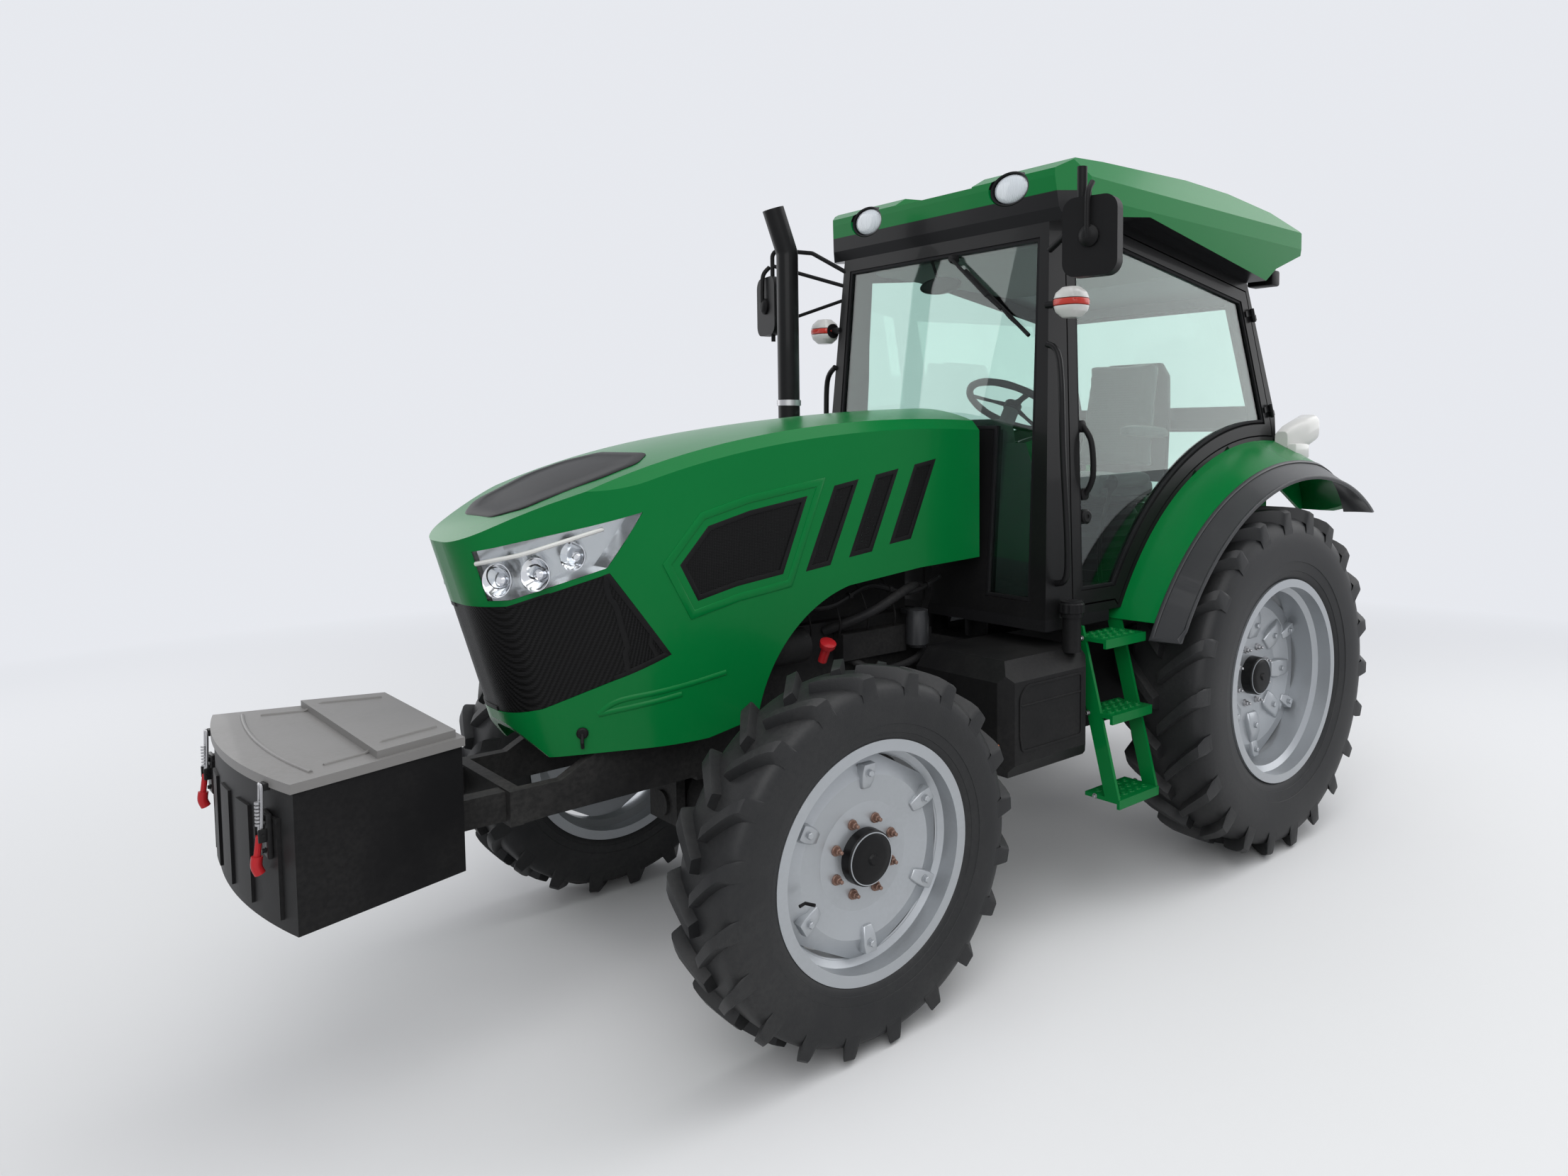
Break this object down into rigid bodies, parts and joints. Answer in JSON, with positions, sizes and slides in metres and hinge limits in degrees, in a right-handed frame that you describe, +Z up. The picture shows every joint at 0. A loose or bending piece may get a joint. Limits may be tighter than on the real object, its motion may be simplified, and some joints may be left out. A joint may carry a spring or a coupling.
{
  "type": "farm tractor",
  "caption": "Four-wheel-drive farm tractor with a glazed cab, tilting hood, front tool box, steered front wheels and a rear three-point hitch.",
  "frame": {"origin": "on the ground under the middle of the whole length, on the tractor's middle plane", "axes": "+X forward, +Y to the driver's left, +Z up"},
  "size_m": [4.3859, 1.9382, 2.652],
  "materials": {
    "green_paint": "gloss",
    "black_paint": "satin",
    "black_plastic": "matte",
    "cast_black": "matte",
    "tyre_rubber": "matte",
    "wheel_silver": "satin",
    "glass": "clear",
    "lamp_lens": "clear",
    "seat_cover": "matte",
    "steel": "satin",
    "box_lid_grey": "matte"
  },
  "bodies": {
    "chassis": {"front_axle": "cast_black", "engine": "cast_black", "front_frame": "cast_black", "transmission": "cast_black", "rear_axle": "cast_black", "front_box": "black_plastic", "cab_frame": "black_paint", "cab_glass": "glass", "cab_floor": "black_plastic", "dashboard": "black_plastic", "seat": "seat_cover", "roof": "green_paint", "fenders": "green_paint", "fender_flares": "black_plastic", "steps": "green_paint", "fuel_tank": "black_plastic", "battery_box": "black_plastic", "exhaust": "black_paint", "mirrors": "black_plastic", "lamps": "lamp_lens", "hitch_frame": "cast_black", "top_link": "steel"},
    "wheel_front_left": {"tyre_front_left": "tyre_rubber", "wheel_front_left": "wheel_silver"},
    "wheel_front_right": {"tyre_front_right": "tyre_rubber", "wheel_front_right": "wheel_silver"},
    "wheel_rear_left": {"tyre_rear_left": "tyre_rubber", "wheel_rear_left": "wheel_silver"},
    "wheel_rear_right": {"tyre_rear_right": "tyre_rubber", "wheel_rear_right": "wheel_silver"},
    "knuckle_left": {"knuckle_left": "cast_black"},
    "knuckle_right": {"knuckle_right": "cast_black"},
    "tie_rod": {"tie_rod": "steel"},
    "hood": {"hood": "green_paint", "hood_grilles": "black_plastic", "headlights": "lamp_lens"},
    "box_lid": {"front_box_lid": "box_lid_grey"},
    "door_left": {"door_left": "black_paint", "door_left_glass": "glass"},
    "door_right": {"door_right": "black_paint", "door_right_glass": "glass"},
    "steering_wheel": {"steering_wheel": "black_plastic"},
    "lower_links": {"lower_links": "cast_black"},
    "lift_arms": {"lift_arms": "cast_black"},
    "lift_rods": {"lift_rods": "steel"}
  },
  "joints": [
    {"name": "wheel_front_left_spin", "type": "hinge", "parent": "knuckle_left", "child": "wheel_front_left", "pos_m": [0.87202, 0.735, 0.522], "axis": [0, 1, 0], "continuous": true},
    {"name": "wheel_front_right_spin", "type": "hinge", "parent": "knuckle_right", "child": "wheel_front_right", "pos_m": [0.87202, -0.735, 0.522], "axis": [0, 1, 0], "continuous": true},
    {"name": "wheel_rear_left_spin", "type": "hinge", "parent": "chassis", "child": "wheel_rear_left", "pos_m": [-1.19798, 0.758, 0.69178], "axis": [0, 1, 0], "continuous": true},
    {"name": "wheel_rear_right_spin", "type": "hinge", "parent": "chassis", "child": "wheel_rear_right", "pos_m": [-1.19798, -0.758, 0.69178], "axis": [0, 1, 0], "continuous": true},
    {"name": "steer_left", "type": "hinge", "parent": "chassis", "child": "knuckle_left", "pos_m": [0.87202, 0.585, 0.522], "axis": [0, 0, 1], "range_deg": [-35, 35]},
    {"name": "steer_right", "type": "hinge", "parent": "chassis", "child": "knuckle_right", "pos_m": [0.87202, -0.585, 0.522], "axis": [0, 0, 1], "range_deg": [-35, 35]},
    {"name": "tie_rod_turn", "type": "hinge", "parent": "knuckle_left", "child": "tie_rod", "pos_m": [0.70202, 0.585, 0.43], "axis": [0, 0, 1], "range_deg": [-35, 35]},
    {"name": "hood_tilt", "type": "hinge", "parent": "chassis", "child": "hood", "pos_m": [0.02702, 0, 1.69], "axis": [0, -1, 0], "range_deg": [0, 50]},
    {"name": "box_lid_hinge", "type": "hinge", "parent": "chassis", "child": "box_lid", "pos_m": [1.73102, 0, 0.906], "axis": [0, -1, 0], "range_deg": [0, 80]},
    {"name": "door_left_hinge", "type": "hinge", "parent": "chassis", "child": "door_left", "pos_m": [-1.60298, 0.60944, 1.72], "axis": [0.3006, -0.0526, 0.9523], "range_deg": [0, 65]},
    {"name": "door_right_hinge", "type": "hinge", "parent": "chassis", "child": "door_right", "pos_m": [-1.60298, -0.60944, 1.72], "axis": [-0.3006, -0.0526, -0.9523], "range_deg": [0, 65]},
    {"name": "steering_wheel_turn", "type": "hinge", "parent": "chassis", "child": "steering_wheel", "pos_m": [-0.57798, 0, 1.79], "axis": [-0.5, 0, 0.866], "continuous": true},
    {"name": "lower_link_lift", "type": "hinge", "parent": "chassis", "child": "lower_links", "pos_m": [-1.32798, 0, 0.47], "axis": [0, 1, 0], "range_deg": [-15, 30]},
    {"name": "lift_arm_turn", "type": "hinge", "parent": "chassis", "child": "lift_arms", "pos_m": [-1.52798, 0, 0.88], "axis": [0, 1, 0], "range_deg": [-15, 30]},
    {"name": "lift_rod_turn", "type": "hinge", "parent": "lift_arms", "child": "lift_rods", "pos_m": [-1.90754, 0, 0.86178], "axis": [0, 1, 0], "range_deg": [-30, 15]}
  ],
  "couplings": [
    {"joint": "steer_right", "follows": "steer_left", "ratio": 1},
    {"joint": "tie_rod_turn", "follows": "steer_left", "ratio": -1},
    {"joint": "lift_arm_turn", "follows": "lower_link_lift", "ratio": 1},
    {"joint": "lift_rod_turn", "follows": "lower_link_lift", "ratio": -1}
  ]
}
